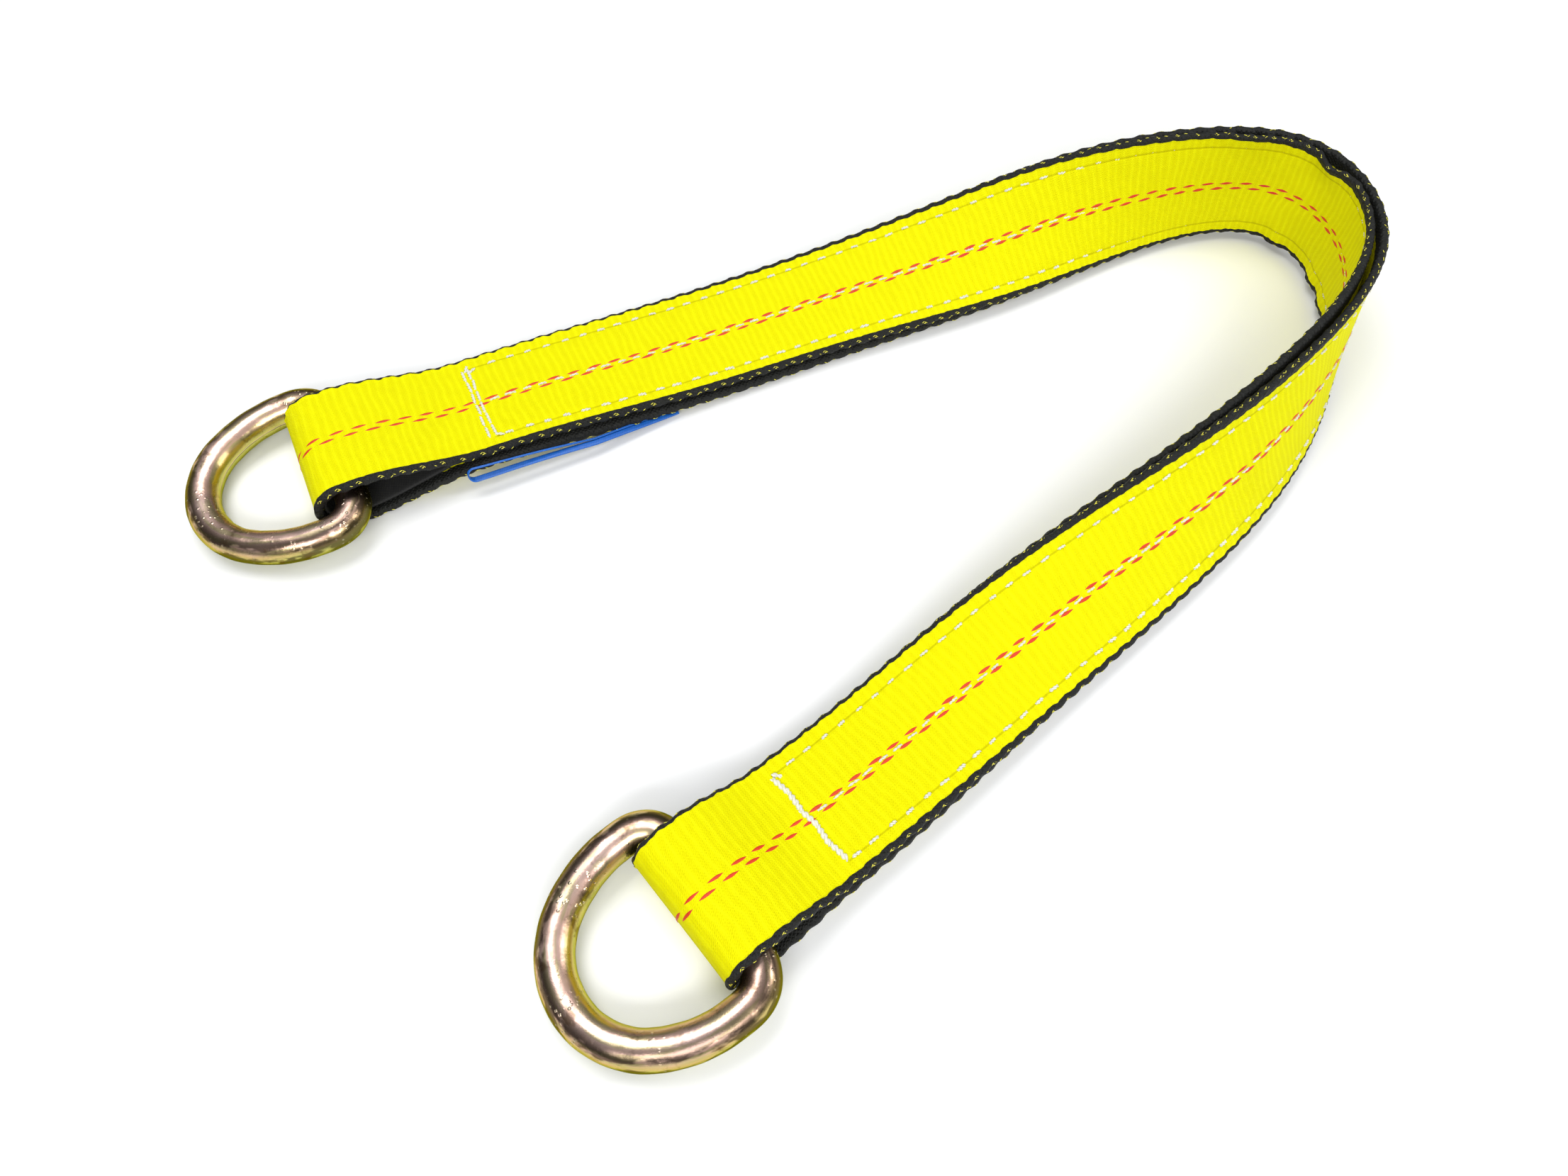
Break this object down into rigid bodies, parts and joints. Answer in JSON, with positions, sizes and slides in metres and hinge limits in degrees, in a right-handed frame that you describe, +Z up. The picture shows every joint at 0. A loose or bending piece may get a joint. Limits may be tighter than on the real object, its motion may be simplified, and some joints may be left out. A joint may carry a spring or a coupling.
{
  "type": "webbing strap with D-rings",
  "caption": "Two-ply flat webbing strap bent in a U with half a turn of twist, with a steel D-ring held in a lined, sewn eye at each end.",
  "frame": {"origin": "middle of the strap's base on the surface it lies on", "axes": "+Z up from the surface; +X from the ring ends towards the bend, the strap's longest extent; +Y from the near leg towards the far leg"},
  "size_m": [0.458, 0.3694, 0.0539],
  "materials": {
    "yellow_webbing": "woven polyester webbing, matt",
    "black_lining": "woven wear lining, matt",
    "zinc_plated_steel": "yellow zinc plating, semi-gloss",
    "white_thread": "twisted sewing thread",
    "blue_label": "coated woven label, satin"
  },
  "bodies": {
    "bend": {"bend_inner_ply": "yellow_webbing", "bend_outer_ply": "yellow_webbing", "bend_top_edge_stitching": "white_thread", "bend_centre_stitching": "white_thread", "bend_low_edge_stitching": "white_thread"},
    "far_leg": {"far_leg_inner_ply": "yellow_webbing", "far_leg_outer_ply": "yellow_webbing", "identification_label": "blue_label", "far_cross_stitching": "white_thread", "far_leg_top_edge_stitching": "white_thread", "far_leg_centre_stitching": "white_thread", "far_leg_low_edge_stitching": "white_thread"},
    "near_leg": {"near_leg_inner_ply": "yellow_webbing", "near_leg_outer_ply": "yellow_webbing", "near_cross_stitching": "white_thread", "near_leg_top_edge_stitching": "white_thread", "near_leg_centre_stitching": "white_thread", "near_leg_low_edge_stitching": "white_thread"},
    "far_eye": {"far_eye_webbing": "yellow_webbing", "far_eye_lining": "black_lining"},
    "near_eye": {"near_eye_webbing": "yellow_webbing", "near_eye_lining": "black_lining"},
    "far_ring": {"far_d_ring": "zinc_plated_steel"},
    "near_ring": {"near_d_ring": "zinc_plated_steel"}
  },
  "joints": [
    {"name": "far_leg_swing", "type": "hinge", "parent": "bend", "child": "far_leg", "pos_m": [0.20337, 0.17568, 0.02852], "axis": [0, 0, -1], "range_deg": [-8, 30]},
    {"name": "near_leg_swing", "type": "hinge", "parent": "bend", "child": "near_leg", "pos_m": [0.22437, 0.12268, 0.02852], "axis": [0, 0, 1], "range_deg": [-8, 30]},
    {"name": "far_eye_lift", "type": "hinge", "parent": "far_leg", "child": "far_eye", "pos_m": [-0.1271, 0.05141, 0.01186], "axis": [-0.4511, 0.8924, -0.0092], "range_deg": [0, 40]},
    {"name": "near_eye_lift", "type": "hinge", "parent": "near_leg", "child": "near_eye", "pos_m": [0.00438, -0.11125, 0.01062], "axis": [-0.6623, 0.7486, -0.0299], "range_deg": [0, 40]},
    {"name": "far_ring_pivot", "type": "hinge", "parent": "far_eye", "child": "far_ring", "pos_m": [-0.17332, 0.02759, 0.01149], "axis": [-0.4407, 0.8976, 0], "range_deg": [0, 150]},
    {"name": "near_ring_pivot", "type": "hinge", "parent": "near_eye", "child": "near_ring", "pos_m": [-0.02264, -0.13495, 0.01277], "axis": [-0.6317, 0.7752, 0], "range_deg": [0, 150]}
  ]
}
